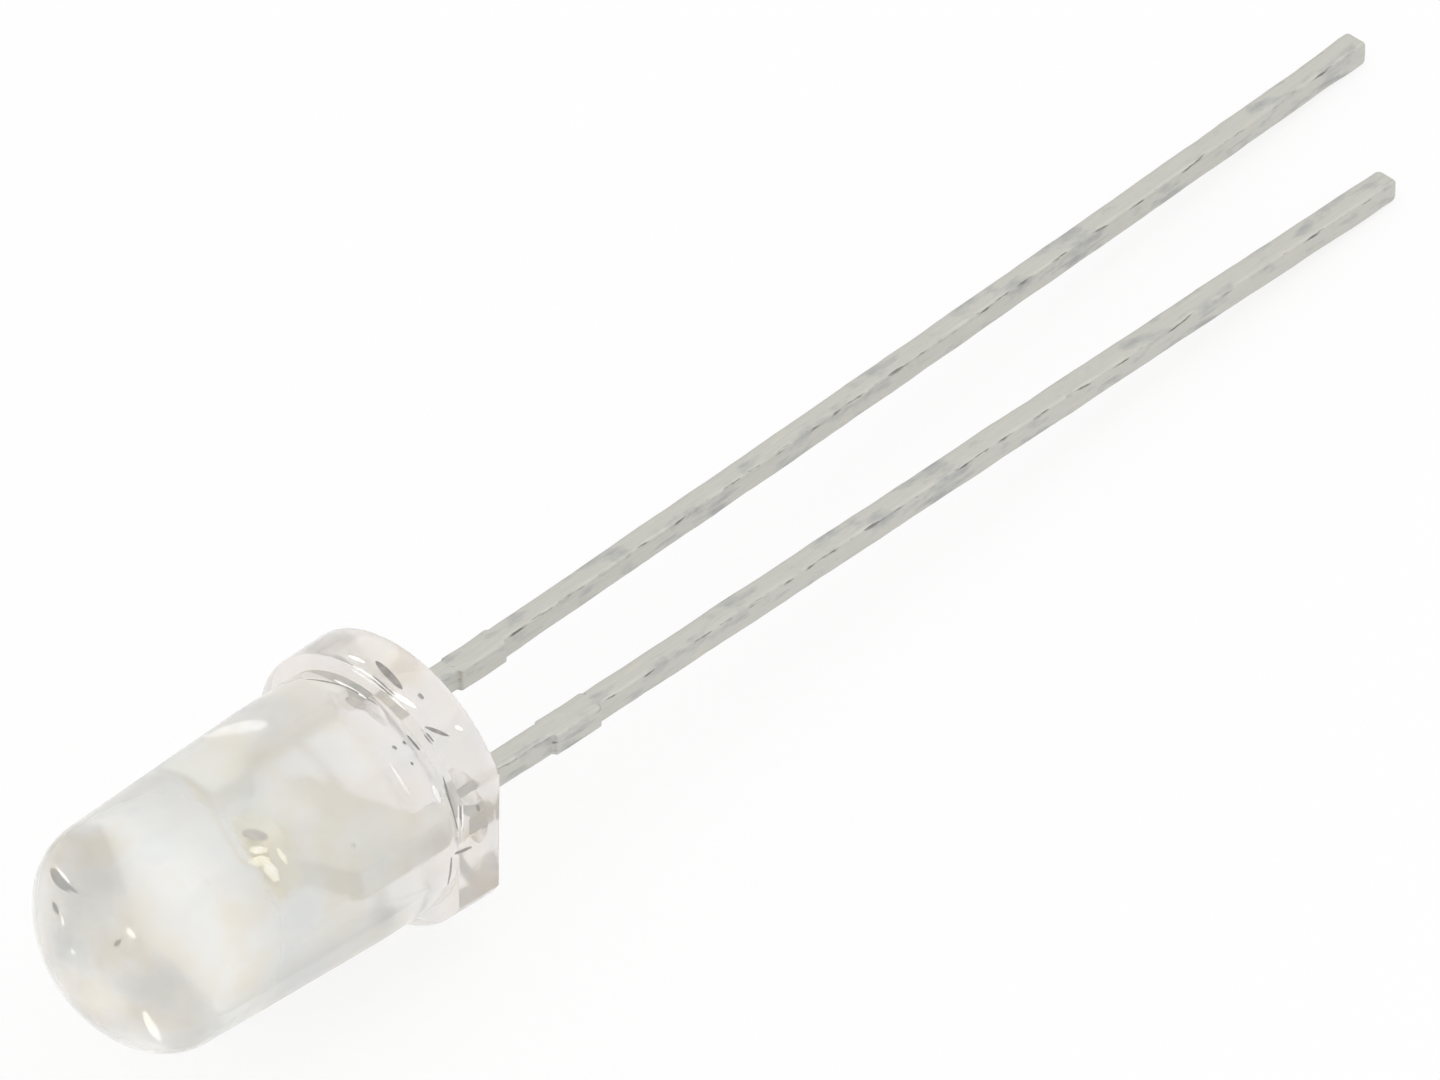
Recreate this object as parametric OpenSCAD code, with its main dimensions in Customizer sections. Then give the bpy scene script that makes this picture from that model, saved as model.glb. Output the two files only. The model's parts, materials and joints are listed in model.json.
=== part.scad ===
// Through hole light emitting diode with a clear domed lens on two tinned leads.
// It lies at rest: the rim of its flange and the tips of both leads touch one level plane.
// Every sub-part is drawn in the diode's own axes and then laid down on that plane.
// The diode's +X axis runs out through the crown and +Y points to the cathode side.
// The origin is in the middle of the flange's seating face.

/* [Lens] */
// Height of the lens from the seating face to the crown
lens_h = 8.55; // [8:0.05:9.2]
// Diameter of the barrel at its clip land
barrel_d = 5.08; // [4.9:0.02:5.2]
// Length of the straight clip land above the flange
clip_land_l = 1.3; // [0.8:0.1:2]
// Draft of the barrel above the clip land, in degrees
barrel_draft = 1.8; // [0.5:0.1:3]
// Height of the crown above the barrel
crown_h = 1.7; // [1.5:0.05:2.2]
// Radius of the shoulder that blends the barrel into the crown
shoulder_r = 1.25; // [0.9:0.05:1.4]

/* [Flange] */
// Width of the flange's rim outside the barrel
flange_rim_w = 0.36; // [0.26:0.01:0.56]
// Thickness of the flange
flange_t = 1; // [0.8:0.05:1.3]
// Step from the barrel out to the flat that marks the cathode
flat_step = 0.02; // [0:0.01:0.24]
// Radius on both edges of the flange
flange_edge_r = 0.1; // [0.04:0.02:0.2]
// Fillet between the flange and the barrel
root_fillet_r = 0.12; // [0.05:0.01:0.2]
// Width of the flat seating ring round the dish in the underside
seat_ring_w = 0.6; // [0.4:0.05:0.8]
// Depth of that dish, left by the shrinking resin
dish_depth = 0.1; // [0.04:0.02:0.2]
// Height to which the resin creeps along each lead
collar_h = 0.24; // [0.16:0.02:0.36]

/* [Leads] */
// Spacing of the leads at the seating face
lead_pitch = 2.54; // [2.4:0.02:2.7]
// Thickness of the lead strip
lead_t = 0.5; // [0.4:0.02:0.56]
// Width of the anode lead
anode_w = 0.46; // [0.4:0.02:0.54]
// Width of the cathode lead
cathode_w = 0.5; // [0.4:0.02:0.54]
// Radius of the tinned corners along the leads
corner_r = 0.07; // [0.03:0.01:0.12]
// Length of the anode lead below the seating face
anode_l = 27.7; // [24:0.1:32]
// Length of the cathode lead below the seating face
cathode_l = 25.3; // [22:0.1:30]
// Lean of the anode lead below its dam stub, in degrees
anode_lean = 1.9; // [0:0.1:4]
// Lean of the cathode lead below its dam stub, in degrees
cathode_lean = 0.9; // [-1:0.1:2]
// Radius of the gentle bow in the anode lead
anode_bow_r = 1200; // [600:50:3000]
// Bevel on the sheared tips
tip_bevel = 0.08; // [0.02:0.01:0.15]

/* [Dam stubs] */
// Distance from the seating face to the stubs left by the dam bar
dam_x = 2.45; // [1.6:0.05:4]
// Length of each stub along its lead
dam_l = 1.2; // [0.8:0.1:2]
// Height of the stubs on the cathode side of each lead
dam_cathode_side = 0.09; // [0.03:0.01:0.2]
// Height of the stubs on the anode side of each lead
dam_anode_side = 0.04; // [0.02:0.01:0.2]

/* [Lead frame] */
// Height at which the full width of the stamped frame starts, inside the flange
frame_x = 0.3; // [0.2:0.05:0.5]
// Height of the keying notches that lock the frame in the resin
key_x = 0.62; // [0.55:0.01:0.7]
// Radius of the keying notches
key_r = 0.09; // [0.05:0.01:0.12]
// Height at which the cathode frame starts to lean under the cup
neck_x = 1.25; // [1:0.05:1.6]
// Height at which the anvil reaches its full width
anvil_x = 2.5; // [2.2:0.05:2.9]
// Gap between the anvil and the head of the anode post
frame_gap = 0.32; // [0.25:0.01:0.38]
// Height of the bonding face on the anode post
post_top_x = 4.2; // [3.9:0.05:4.5]
// Height of the widened head of the anode post
post_head_h = 0.9; // [0.6:0.05:1.1]

/* [Cup] */
// Height of the rim of the reflector cup
cup_rim_x = 4.35; // [4:0.05:4.8]
// Outer diameter of the cup
cup_d = 1.06; // [0.98:0.02:1.16]
// Diameter of the cup's mouth
cup_mouth_d = 0.86; // [0.76:0.02:0.92]
// Diameter of the cup's floor
cup_floor_d = 0.52; // [0.48:0.01:0.6]
// Depth of the cup
cup_depth = 0.2; // [0.15:0.01:0.3]
// Length of the round body of the cup
cup_body_h = 0.5; // [0.4:0.05:0.6]

/* [Chip] */
// Side of the square chip
chip_w = 0.34; // [0.24:0.01:0.35]
// Height of the chip
chip_h = 0.25; // [0.2:0.01:0.3]
// Thickness of the silver paste under the chip
paste_t = 0.02; // [0.01:0.01:0.05]
// Height of the paste fillet round the chip
paste_h = 0.07; // [0.06:0.01:0.1]
// Width of bare cup floor left round the paste
paste_gap = 0.01; // [0:0.005:0.04]
// Width of the paste fillet's top past the chip's corners
paste_lip = 0.005; // [0.002:0.001:0.01]
// Diameter of the contact on top of the chip
contact_d = 0.13; // [0.1:0.01:0.18]
// Thickness of that contact
contact_t = 0.01; // [0.005:0.005:0.02]

/* [Bond wire] */
// Diameter of the bond wire
wire_d = 0.03; // [0.02:0.005:0.04]
// Diameter of the ball at the chip end
ball_d = 0.08; // [0.07:0.01:0.1]
// Straight rise of the wire above the ball
wire_rise = 0.1; // [0.06:0.01:0.2]
// Radius of the loop
loop_r = 0.14; // [0.1:0.01:0.2]
// Diameter of the stitch on the anode post
stitch_d = 0.1; // [0.08:0.01:0.14]

/* [Hidden] */
$fn = 96;

// Overlap that merges the solids of one piece
lap = 0.05;
// Reach of a cutting block past what it cuts
clear_cut = 1;

// Lens: the shoulder is tangent to the barrel and the crown is tangent to the shoulder
barrel_r = barrel_d / 2;
flange_r = barrel_r + flange_rim_w;
flat_y = barrel_r + flat_step;
dish_r = flange_r - seat_ring_w;
land_top = flange_t + root_fillet_r + clip_land_l;
shoulder_x = lens_h - crown_h;
shoulder_y = barrel_r - (shoulder_x - land_top) * tan(barrel_draft) - shoulder_r / cos(barrel_draft);
crown_r = (pow(shoulder_y, 2) + pow(crown_h, 2) - pow(shoulder_r, 2)) / (2 * (crown_h - shoulder_r));
crown_x = lens_h - crown_r;
crown_a = atan2(shoulder_y, shoulder_x - crown_x);

// Leads: the lean starts in the middle of the dam stub, which hides the bend
anode_y = -lead_pitch / 2;
cathode_y = lead_pitch / 2;
bend_x = dam_x + dam_l / 2;
anode_run = anode_l - bend_x;
cathode_run = cathode_l - bend_x;
bow_a = anode_run / anode_bow_r * 180 / PI;
bow_rise = anode_bow_r * (1 - cos(bow_a));
collar_r = max(anode_w, cathode_w) / 2 + lead_t / 4 + collar_h;

// Frame edges
cathode_in = cathode_y - cathode_w / 2;
cathode_out = cathode_y + cathode_w / 2;
anode_in = anode_y + anode_w / 2;
anode_out = anode_y - anode_w / 2;
cup_wall = (cup_d - cup_mouth_d) / 2;
anvil_half = cup_d / 2 - cup_wall / 3;
head_in = -cup_d / 2 - frame_gap;
cup_floor_x = cup_rim_x - cup_depth;
cup_base_x = cup_rim_x - cup_body_h;

// Chip stack
chip_x = cup_floor_x + paste_t;
contact_x = chip_x + chip_h;
ball_x = contact_x + contact_t;

// Bond wire, in a plane where u runs from the chip to the anode post and v runs up the diode
stitch_h = wire_d / 2;
stitch_u = -(head_in + anode_out) / 2;
stitch_v = post_top_x + stitch_h;
loop_v = ball_x + ball_d / 2 + wire_rise;
loop_reach = norm([stitch_u - loop_r, stitch_v - loop_v]);
loop_end_a = atan2(stitch_v - loop_v, stitch_u - loop_r) + acos(loop_r / loop_reach);
fall_l = sqrt(pow(loop_reach, 2) - pow(loop_r, 2));

// Rest: slope and cross slope of the plane through the flange's rim and both lead tips
anode_tip_y = anode_y - anode_run * sin(anode_lean) - bow_rise;
cathode_tip_y = cathode_y - cathode_run * sin(cathode_lean);
cross_share = (cathode_l - anode_l) / (cathode_tip_y - anode_tip_y);
rest_slope = (flange_r - lead_t / 2) / (anode_l - cross_share * anode_tip_y);
rest_pitch = -atan(rest_slope);
rest_roll = asin(cross_share * rest_slope);

// Turns the diode's axes into the position in which it lies
module lay_down() {
    rotate([rest_roll, rest_pitch, 0]) children();
}

// Turns a profile drawn as radius and height into a solid about the diode's axis
module turned() {
    rotate([0, 90, 0]) rotate_extrude() children();
}

// Cylinder that starts at height x on the diode's axis
module disc(x, d, h) {
    translate([x, 0, 0]) rotate([0, 90, 0]) cylinder(d = d, h = h);
}

// Rectangle with round corners about the origin
module round_rect(a, b, r) {
    square([a, b - 2 * r], center = true);
    square([a - 2 * r, b], center = true);
    for (sx = [-1, 1], sy = [-1, 1])
        translate([sx * (a / 2 - r), sy * (b / 2 - r)]) circle(r);
}

// Bar of lead section that runs from the origin down the -X axis
module lead_bar(w, l) {
    rotate([0, -90, 0]) linear_extrude(l) round_rect(lead_t, w, corner_r);
}

// Wedges that bevel the four edges of a sheared tip whose end face is at the origin
module tip_bevels(w) {
    for (side = [0:3]) {
        reach = (side % 2 == 0 ? lead_t : w) / 2;
        rotate([side * 90, 0, 0]) translate([0, 0, reach])
            rotate([90, 0, 0]) linear_extrude(2 * clear_cut, center = true)
                polygon([
                    [-tip_bevel, -tip_bevel * 2], [-tip_bevel, tip_bevel],
                    [tip_bevel, tip_bevel], [0, -tip_bevel]
                ]);
    }
}

// Flange, fillet, land, drafted barrel, shoulder and crown as one outline
module lens_outline() {
    square([flange_r - flange_edge_r, flange_t]);
    translate([0, flange_edge_r]) square([flange_r, flange_t - 2 * flange_edge_r]);
    for (x = [flange_edge_r, flange_t - flange_edge_r])
        translate([flange_r - flange_edge_r, x]) circle(flange_edge_r);
    difference() {
        translate([0, flange_t]) square([barrel_r + root_fillet_r, root_fillet_r]);
        translate([barrel_r + root_fillet_r, flange_t + root_fillet_r]) circle(root_fillet_r);
    }
    square([barrel_r, land_top]);
    tangent = [
        shoulder_y + shoulder_r * cos(barrel_draft),
        shoulder_x + shoulder_r * sin(barrel_draft)
    ];
    polygon([[0, land_top], [barrel_r, land_top], tangent, [0, tangent[1]]]);
    intersection() {
        translate([shoulder_y, shoulder_x]) circle(shoulder_r);
        square([barrel_r, lens_h]);
    }
    intersection() {
        translate([0, crown_x]) circle(crown_r);
        polygon([
            [0, crown_x], [0, crown_x + 2 * crown_r],
            [2 * crown_r * sin(crown_a), crown_x + 2 * crown_r * cos(crown_a)]
        ]);
    }
}

// Concave collar where the resin creeps along a lead below the seating face
module collar_outline() {
    difference() {
        translate([0, -collar_h]) square([collar_r, collar_h + dish_depth + lap]);
        translate([collar_r, -collar_h]) circle(collar_h);
    }
}

module lens_blank() {
    difference() {
        turned() lens_outline();
        translate([-clear_cut, flat_y, -flange_r])
            cube([clear_cut + flange_t + root_fillet_r, flange_r, 2 * flange_r]);
        rotate([0, 90, 0]) cylinder(r1 = dish_r, r2 = 0, h = dish_depth);
    }
    for (y = [anode_y, cathode_y])
        translate([0, y, 0]) turned() collar_outline();
}

// Stamped strip of the given outline in the plane of the leads
module stamping(points, notch_edges) {
    linear_extrude(lead_t, center = true) difference() {
        polygon(points);
        for (y = notch_edges) translate([key_x, y]) circle(key_r);
    }
}

// Straight run through the resin to the bend, with the dam stub over the bend
module lead_root(w) {
    stub_w = w + dam_cathode_side + dam_anode_side;
    translate([frame_x + lap, 0, 0]) lead_bar(w, frame_x + lap + bend_x);
    translate([-dam_x, (dam_cathode_side - dam_anode_side) / 2, 0]) lead_bar(stub_w, dam_l);
}

module anode_frame() {
    translate([0, anode_y, 0]) lead_root(anode_w);
    stamping([
        [frame_x, anode_in], [post_top_x - post_head_h - frame_gap, anode_in],
        [post_top_x - post_head_h, head_in], [post_top_x, head_in],
        [post_top_x, anode_out], [frame_x, anode_out]
    ], [anode_in, anode_out]);
    translate([-bend_x, anode_y, 0]) rotate([0, 0, anode_lean]) translate([0, -anode_bow_r, 0])
        difference() {
            rotate([0, 0, 90]) rotate_extrude(angle = bow_a, $fn = 1440)
                translate([anode_bow_r, 0]) round_rect(anode_w, lead_t, corner_r);
            rotate([0, 0, bow_a]) translate([0, anode_bow_r, 0]) mirror([1, 0, 0]) tip_bevels(anode_w);
        }
}

module cathode_frame() {
    translate([0, cathode_y, 0]) lead_root(cathode_w);
    stamping([
        [frame_x, cathode_in], [neck_x, cathode_in], [anvil_x, -anvil_half],
        [cup_base_x + lap, -anvil_half], [cup_base_x + lap, anvil_half],
        [anvil_x + (cathode_out - anvil_half) / 2, cathode_out], [frame_x, cathode_out]
    ], [cathode_in, cathode_out]);
    translate([-bend_x, cathode_y, 0]) rotate([0, 0, cathode_lean]) difference() {
        lead_bar(cathode_w, cathode_run);
        translate([-cathode_run, 0, 0]) mirror([1, 0, 0]) tip_bevels(cathode_w);
    }
    difference() {
        union() {
            disc(cup_base_x, cup_d, cup_body_h);
            translate([cup_base_x - cup_body_h / 2, 0, 0]) rotate([0, 90, 0])
                cylinder(d1 = lead_t, d2 = cup_d, h = cup_body_h / 2);
        }
        cup_hollow();
    }
}

// Conical recess of the reflector cup
module cup_hollow() {
    flare = (cup_mouth_d - cup_floor_d) / cup_depth;
    translate([cup_floor_x, 0, 0]) rotate([0, 90, 0])
        cylinder(d1 = cup_floor_d, d2 = cup_mouth_d + flare * lap, h = cup_depth + lap);
}

module chip_block() {
    translate([chip_x, -chip_w / 2, -chip_w / 2]) cube([chip_h, chip_w, chip_w]);
}

module paste() {
    difference() {
        translate([cup_floor_x, 0, 0]) rotate([0, 90, 0])
            cylinder(d1 = cup_floor_d - 2 * paste_gap, d2 = chip_w * sqrt(2) + 2 * paste_lip, h = paste_h);
        chip_block();
    }
}

module contact() {
    disc(contact_x, contact_d, contact_t);
}

// Ball on the chip, rise, loop, long fall and stitch on the anode post
module wire() {
    intersection() {
        translate([ball_x + ball_d / 3, 0, 0]) sphere(d = ball_d);
        disc(ball_x, ball_d + lap, ball_d);
    }
    rotate([0, 0, -90]) {
        translate([0, ball_x + ball_d / 2, 0]) rotate([-90, 0, 0]) cylinder(d = wire_d, h = wire_rise);
        translate([loop_r, loop_v, 0]) {
            rotate([0, 0, loop_end_a]) rotate_extrude(angle = 180 - loop_end_a)
                translate([loop_r, 0]) circle(d = wire_d, $fn = 32);
            rotate([0, 0, loop_end_a]) translate([loop_r, 0, 0])
                rotate([90, 0, 0]) cylinder(d = wire_d, h = fall_l, $fn = 32);
        }
        translate([stitch_u, post_top_x, 0]) rotate([-90, 0, 0]) cylinder(d = stitch_d, h = stitch_h);
    }
}

module lens() {
    color([0.88, 0.88, 0.86, 0.45]) lay_down() difference() {
        lens_blank();
        anode_frame();
        cathode_frame();
        paste();
        chip_block();
        contact();
        wire();
    }
}

module cathode_lead() {
    color("silver") lay_down() cathode_frame();
}

module anode_lead() {
    color("silver") lay_down() anode_frame();
}

module die_attach() {
    color("gainsboro") lay_down() paste();
}

module led_chip() {
    color("khaki") lay_down() chip_block();
}

module chip_contact() {
    color("gold") lay_down() contact();
}

module bond_wire() {
    color("gold") lay_down() wire();
}

lens();
cathode_lead();
anode_lead();
die_attach();
led_chip();
chip_contact();
bond_wire();
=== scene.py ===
"""A clear 5 mm through hole LED that lies at rest on a pale studio floor."""

import json  # noqa: E402
import logging  # noqa: E402
import math  # noqa: E402
from collections.abc import Iterable  # noqa: E402
from dataclasses import dataclass  # noqa: E402
from enum import Enum  # noqa: E402

import bmesh  # noqa: E402
import bpy  # noqa: E402
from bmesh.types import BMEdge, BMesh, BMVert  # noqa: E402
from bpy.types import Material, Node, NodeSocket, NodeTree, Object  # noqa: E402
from mathutils import Matrix, Vector, noise  # noqa: E402


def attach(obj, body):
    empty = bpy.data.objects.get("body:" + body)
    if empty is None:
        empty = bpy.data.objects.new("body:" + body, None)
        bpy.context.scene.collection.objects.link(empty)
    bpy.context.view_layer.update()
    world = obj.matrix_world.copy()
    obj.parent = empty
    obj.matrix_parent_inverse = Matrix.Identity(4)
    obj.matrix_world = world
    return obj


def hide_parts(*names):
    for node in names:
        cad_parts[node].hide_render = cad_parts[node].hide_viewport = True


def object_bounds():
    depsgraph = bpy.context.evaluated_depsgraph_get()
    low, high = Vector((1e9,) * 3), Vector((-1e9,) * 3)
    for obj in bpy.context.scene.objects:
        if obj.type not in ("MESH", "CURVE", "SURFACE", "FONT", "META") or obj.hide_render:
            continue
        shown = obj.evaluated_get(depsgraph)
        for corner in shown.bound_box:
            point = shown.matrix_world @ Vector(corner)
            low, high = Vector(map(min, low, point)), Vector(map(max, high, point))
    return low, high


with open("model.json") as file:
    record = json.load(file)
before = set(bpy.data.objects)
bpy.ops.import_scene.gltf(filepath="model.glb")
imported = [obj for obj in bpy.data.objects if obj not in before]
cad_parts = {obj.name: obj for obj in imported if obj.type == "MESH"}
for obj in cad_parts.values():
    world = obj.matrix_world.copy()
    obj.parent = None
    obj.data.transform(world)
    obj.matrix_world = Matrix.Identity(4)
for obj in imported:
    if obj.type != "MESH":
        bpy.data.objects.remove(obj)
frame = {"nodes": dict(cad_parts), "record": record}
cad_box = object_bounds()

log = logging.getLogger("led")

MM = 0.001
BODY = "root"
IMAGE_SIZE = (1440, 1080)
FULL_TURN = 2 * math.pi
WHITE = (1.0, 1.0, 1.0, 1.0)

# Distances in millimetres at which points are merged, touch, or lie close together.
SEAM = 1e-5
TOUCH = 1e-3
NEAR = 0.01

# Rounds of subdivision for a round ball and for one with visible facets.
SMOOTH_ROUNDS = 3
FACETED_ROUNDS = 1


def mount(name: str) -> dict:
    """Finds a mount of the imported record.

    Args:
        name: the mount's name.

    Returns:
        The mount as the record holds it.
    """
    return next(m for m in frame["record"]["mounts"] if m["name"] == name)


@dataclass(frozen=True)
class DiodeAxes:
    """The diode's own axes: x runs out through the crown, y points to the cathode."""

    x: Vector
    y: Vector
    z: Vector

    @classmethod
    def from_record(cls) -> "DiodeAxes":
        """Reads the axes from the barrel's mount and from the two pins."""
        x = Vector(mount("lens_barrel")["axis"]).normalized()
        across = Vector(mount("cathode_pin")["pos_m"]) - Vector(mount("anode_pin")["pos_m"])
        y = (across - across.dot(x) * x).normalized()
        return cls(x, y, x.cross(y))

    def turn(self) -> Matrix:
        """Gives the turn from the diode's axes to the row's axes."""
        return Matrix((self.x, self.y, self.z)).transposed()

    def place(self) -> Matrix:
        """Gives the turn and the change from millimetres to metres as one matrix."""
        return self.turn().to_4x4() @ Matrix.Scale(MM, 4)


AXES = DiodeAxes.from_record()


def linear(colour: str) -> tuple[float, float, float, float]:
    """Turns an sRGB colour into linear values.

    Args:
        colour: six hex digits after a hash sign.

    Returns:
        Red, green, blue and an alpha of one.
    """
    channels = []
    for i in (1, 3, 5):
        value = int(colour[i : i + 2], 16) / 255
        channels.append(value / 12.92 if value <= 0.04045 else ((value + 0.055) / 1.055) ** 2.4)
    return (*channels, 1.0)


def add_node(
    tree: NodeTree, kind: str, inputs: dict | None = None, **settings: object
) -> Node:
    """Adds a node with its settings, values and links.

    Args:
        tree: the node tree that gets the node.
        kind: the node's type name.
        inputs: a value or an output socket for each input, by its name or number.
        settings: the node's own properties.

    Returns:
        The new node.
    """
    node = tree.nodes.new(kind)
    for name, value in settings.items():
        setattr(node, name, value)
    for key, value in (inputs or {}).items():
        if isinstance(value, NodeSocket):
            tree.links.new(value, node.inputs[key])
        else:
            node.inputs[key].default_value = value
    return node


def colour_steps(
    tree: NodeTree, factor: NodeSocket, steps: Iterable[tuple[float, str | float]]
) -> NodeSocket:
    """Adds a colour ramp.

    Args:
        tree: the node tree that gets the ramp.
        factor: the socket that drives it.
        steps: the position of each stop, with its sRGB colour or its linear share of white.

    Returns:
        The ramp's colour output.
    """
    ramp = add_node(tree, "ShaderNodeValToRGB", {0: factor})
    stops, steps = ramp.color_ramp.elements, list(steps)
    while len(stops) < len(steps):
        stops.new(1.0)
    for stop, (position, tone) in zip(stops, steps):
        stop.position = position
        stop.color = linear(tone) if isinstance(tone, str) else (tone, tone, tone, 1.0)
    return ramp.outputs["Color"]


def calc(tree: NodeTree, operation: str, *values: object) -> NodeSocket:
    """Adds a piece of arithmetic.

    Args:
        tree: the node tree that gets it.
        operation: its name, such as ADD.
        values: a number or an output socket for each input.

    Returns:
        The socket of the result.
    """
    return add_node(tree, "ShaderNodeMath", dict(enumerate(values)), operation=operation).outputs[0]


def remap(
    tree: NodeTree, value: NodeSocket, source: tuple[float, float], target: tuple[float, float]
) -> NodeSocket:
    """Carries a value from one range to another, held at both ends.

    Args:
        tree: the node tree.
        value: the socket with the value.
        source: the range that it comes from.
        target: the range that it goes to.

    Returns:
        The socket of the result.
    """
    inputs = dict(enumerate((value, *source, *target)))
    return add_node(tree, "ShaderNodeMapRange", inputs).outputs[0]


def clouds(tree: NodeTree, per_mm: float, detail: float) -> NodeSocket:
    """Adds a noise that is fixed to the piece.

    Args:
        tree: the node tree.
        per_mm: the scale, in cycles per millimetre.
        detail: the number of finer layers.

    Returns:
        The noise's factor.
    """
    where = add_node(tree, "ShaderNodeTexCoord").outputs["Object"]
    inputs = {"Vector": where, "Scale": per_mm / MM, "Detail": detail}
    return add_node(tree, "ShaderNodeTexNoise", inputs).outputs["Fac"]


def skin(tree: NodeTree, inputs: dict) -> None:
    """Closes a material with one principled surface.

    Args:
        tree: the node tree.
        inputs: the surface's values and links.
    """
    body = add_node(tree, "ShaderNodeBsdfPrincipled", inputs)
    add_node(tree, "ShaderNodeOutputMaterial", {"Surface": body.outputs[0]})


@dataclass(frozen=True)
class Finish:
    """A material made from nodes, and the record's slot that it stands for."""

    name: str
    slot: str

    def material(self) -> Material:
        """Makes the material, or gives the one that was made before."""
        made = bpy.data.materials.get(self.name)
        if made is None:
            made = bpy.data.materials.new(self.name)
            made.use_nodes = True
            made.node_tree.nodes.clear()
            self.paint(made.node_tree)
        return made

    def paint(self, tree: NodeTree) -> None:
        """Builds the nodes. Each finish has its own.

        Args:
            tree: the empty node tree of the new material.
        """
        raise NotImplementedError


@dataclass(frozen=True)
class ClearResin(Finish):
    """Cast clear epoxy. The eye gets a glassy crown and flange with a faint warm cast, and a
    barrel with a satin haze from the mould, in which the metal shows only softly. Its colour by
    height is painted light and shade: near white over the crown and the seat, and greyer over
    the barrel.

    Values in fours run from the seat, along the barrel's two ends, to the crown.
    """

    name: str = "clear_epoxy"
    slot: str = "clear_resin"
    ior: float = 1.53
    # Painted light and shade by height: the barrel greyer than the crown and the seat. The seat's
    # faint warmth is the resin's own cast.
    warm_cast_and_painted_shade: tuple[str, ...] = ("#fdf9f7", "#e9e9e7", "#e9e9e7", "#fffefa")
    warm_cast_and_shade_stops: tuple[float, ...] = (0.08, 0.28, 0.62, 0.8)
    clearness: tuple[float, ...] = (0.76, 0.72, 0.72, 0.66)
    roughness: tuple[float, ...] = (0.05, 0.22, 0.22, 0.06)
    haze_stops: tuple[float, ...] = (0.12, 0.26, 0.62, 0.78)
    warm: str = "#fdf9f1"
    cool: str = "#f8fbfd"
    clouds_per_mm: float = 0.75
    body_colour: str = "#f6e6e2"
    density: float = 6.0
    lamp_tint: str = "#eeeeea"
    height: float = 8.55

    def paint(self, tree: NodeTree) -> None:
        """Builds glass with a light absorption, which lets lamps through to its inside."""
        cloudy = colour_steps(
            tree,
            clouds(tree, self.clouds_per_mm, 2.0),
            [(0.36, self.warm), (0.5, "#ffffff"), (0.66, self.cool)],
        )
        height = add_node(
            tree,
            "ShaderNodeVectorMath",
            {0: add_node(tree, "ShaderNodeTexCoord").outputs["Object"], 1: AXES.x},
            operation="DOT_PRODUCT",
        )
        level = remap(tree, height.outputs["Value"], (0.0, self.height * MM), (0.0, 1.0))
        # The tint by height paints light and shade: darker over the barrel than over the crown.
        clearness, roughness, tone = (
            colour_steps(tree, level, zip(stops, values))
            for stops, values in (
                (self.haze_stops, self.clearness),
                (self.haze_stops, self.roughness),
                (self.warm_cast_and_shade_stops, self.warm_cast_and_painted_shade),
            )
        )
        both = {0: 1.0, 6: tone, 7: cloudy}
        cast = add_node(tree, "ShaderNodeMix", both, data_type="RGBA", blend_type="MULTIPLY")
        shell = add_node(
            tree,
            "ShaderNodeBsdfPrincipled",
            {
                "Base Color": cast.outputs[2],
                "Roughness": roughness,
                "IOR": self.ior,
                "Transmission Weight": clearness,
            },
        )
        path = add_node(tree, "ShaderNodeLightPath")
        open_to_lamps = add_node(
            tree, "ShaderNodeBsdfTransparent", {"Color": linear(self.lamp_tint)}
        )
        surface = add_node(
            tree,
            "ShaderNodeMixShader",
            {0: path.outputs["Is Shadow Ray"], 1: shell.outputs[0], 2: open_to_lamps.outputs[0]},
        )
        inside = add_node(
            tree,
            "ShaderNodeVolumeAbsorption",
            {"Color": linear(self.body_colour), "Density": self.density},
        )
        ends = {"Surface": surface.outputs[0], "Volume": inside.outputs[0]}
        add_node(tree, "ShaderNodeOutputMaterial", ends)


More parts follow.
